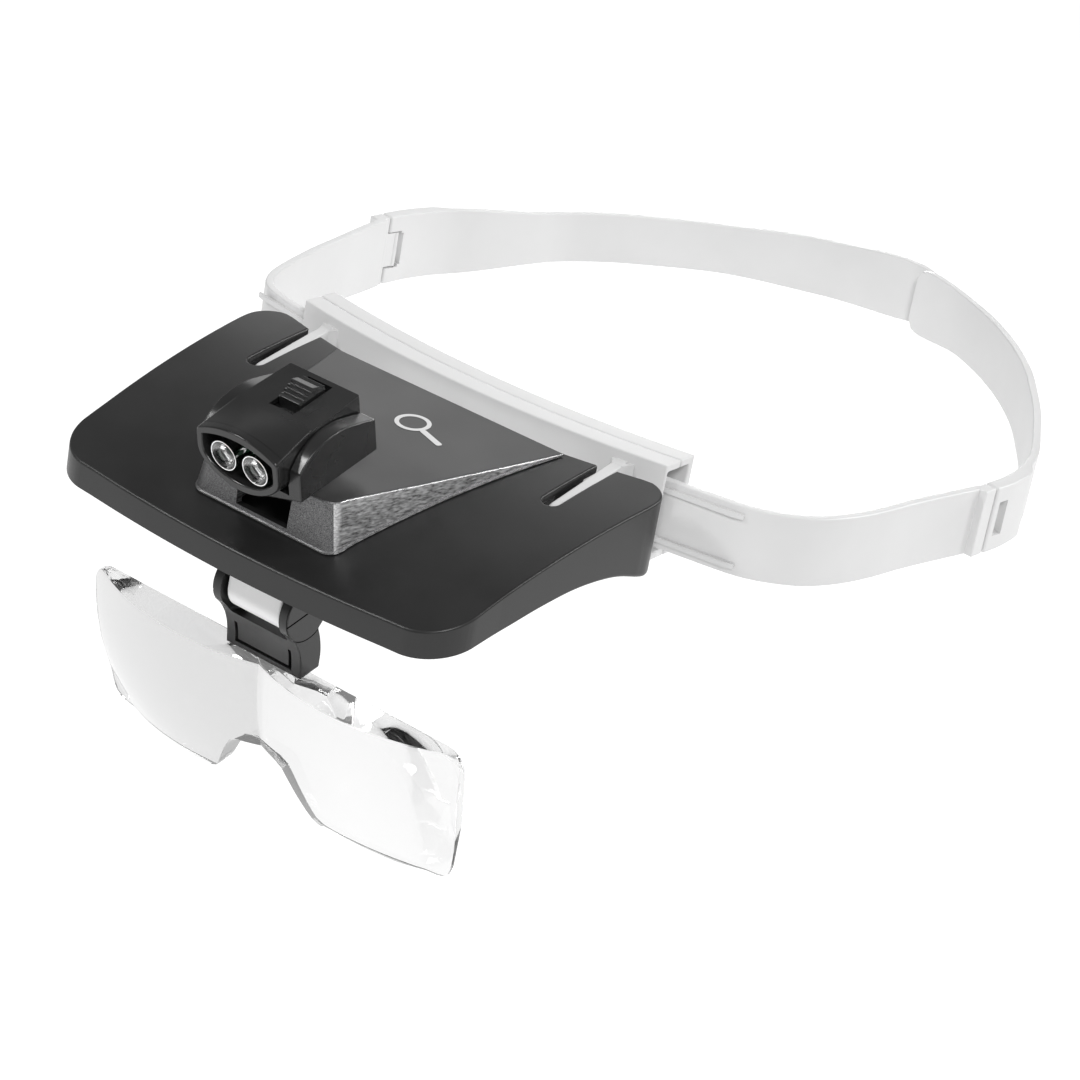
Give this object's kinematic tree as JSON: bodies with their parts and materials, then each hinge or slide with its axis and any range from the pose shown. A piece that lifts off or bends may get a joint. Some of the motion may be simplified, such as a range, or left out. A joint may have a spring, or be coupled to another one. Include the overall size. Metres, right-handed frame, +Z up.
{
  "type": "head visor magnifier",
  "caption": "Headband magnifier: an adjustable plastic band carries a tilting visor with a lamp on top and a fold-down clear lens on a slide below.",
  "frame": {"origin": "Middle of the forehead pad's rear face, where the visor rests on the wearer's brow.", "axes": "+X is the wearer's left, -Y is where the wearer looks, +Z is up with the visor lowered."},
  "size_m": [0.2001, 0.2851, 0.1098],
  "materials": {
    "band_grey_plastic": "satin",
    "strap_white_plastic": "satin",
    "pad_foam": "soft matt foam",
    "deck_black_plastic": "satin",
    "pedestal_brushed": "brushed metallic sides",
    "lamp_black_plastic": "semi-gloss",
    "led_clear": "clear resin",
    "lens_acrylic": "clear polished",
    "reflector_chrome": "mirror",
    "pin_steel": "plain",
    "cell_steel": "plain",
    "contact_metal": "plain",
    "circuit_board": "plain"
  },
  "bodies": {
    "headband": {"bar_front_shell": "band_grey_plastic", "bar_rear_shell": "band_grey_plastic", "forehead_pad": "pad_foam", "bar_screw_1": "pin_steel", "bar_screw_2": "pin_steel", "bar_screw_3": "pin_steel", "bar_screw_4": "pin_steel"},
    "front_strap_left": {"front_strap_left": "strap_white_plastic"},
    "front_strap_right": {"front_strap_right": "strap_white_plastic"},
    "rear_strap_left": {"rear_strap_left": "strap_white_plastic"},
    "rear_strap_right": {"rear_strap_right": "strap_white_plastic"},
    "visor": {"visor_deck": "deck_black_plastic", "lamp_pedestal": "pedestal_brushed", "visor_pin_left": "pin_steel", "visor_pin_right": "pin_steel", "lamp_pin": "pin_steel"},
    "lamp": {"lamp_cradle": "lamp_black_plastic", "lamp_shell": "lamp_black_plastic", "lamp_bezel": "lamp_black_plastic", "led_left": "led_clear", "led_right": "led_clear", "reflector_left": "reflector_chrome", "reflector_right": "reflector_chrome", "lamp_board": "circuit_board", "cell_lower": "cell_steel", "cell_upper": "cell_steel", "contact_lower": "contact_metal", "contact_upper": "contact_metal", "cell_cover": "lamp_black_plastic"},
    "lamp_switch": {"switch_knob": "lamp_black_plastic"},
    "lens_carriage": {"lens_carriage": "strap_white_plastic", "fold_pin": "pin_steel"},
    "lens_holder": {"lens_bracket": "deck_black_plastic", "lens": "lens_acrylic"}
  },
  "joints": [
    {"name": "visor_tilt", "type": "hinge", "parent": "headband", "child": "visor", "pos_m": [0, -0.027, 0.00155], "axis": [-1, 0, 0], "range_deg": [0, 45]},
    {"name": "lamp_tilt", "type": "hinge", "parent": "visor", "child": "lamp", "pos_m": [0, -0.0795, 0.00355], "axis": [-1, 0, 0], "range_deg": [-2, 15]},
    {"name": "switch_travel", "type": "slide", "parent": "lamp", "child": "lamp_switch", "axis": [0, -0.9598, -0.2807], "range_m": [0, 0.0026]},
    {"name": "lens_slide", "type": "slide", "parent": "visor", "child": "lens_carriage", "axis": [0, 0.9563, 0.2924], "range_m": [-0.002, 0.016]},
    {"name": "lens_fold", "type": "hinge", "parent": "lens_carriage", "child": "lens_holder", "pos_m": [0, -0.0764, -0.02585], "axis": [-1, 0, 0], "range_deg": [-15, 90]},
    {"name": "strap_slide_left", "type": "slide", "parent": "headband", "child": "front_strap_left", "axis": [0.9854, 0.1702, 0], "range_m": [-0.004, 0.012]},
    {"name": "strap_slide_right", "type": "slide", "parent": "headband", "child": "front_strap_right", "axis": [-0.9854, 0.1702, 0], "range_m": [-0.004, 0.012]},
    {"name": "strap_hinge_left", "type": "hinge", "parent": "front_strap_left", "child": "rear_strap_left", "pos_m": [0.103, 0.06799, -0.00075], "axis": [0, 0, 1], "range_deg": [0, 20]},
    {"name": "strap_hinge_right", "type": "hinge", "parent": "front_strap_right", "child": "rear_strap_right", "pos_m": [-0.09065, 0.06998, -0.00075], "axis": [0, 0, 1], "range_deg": [0, 10]}
  ]
}
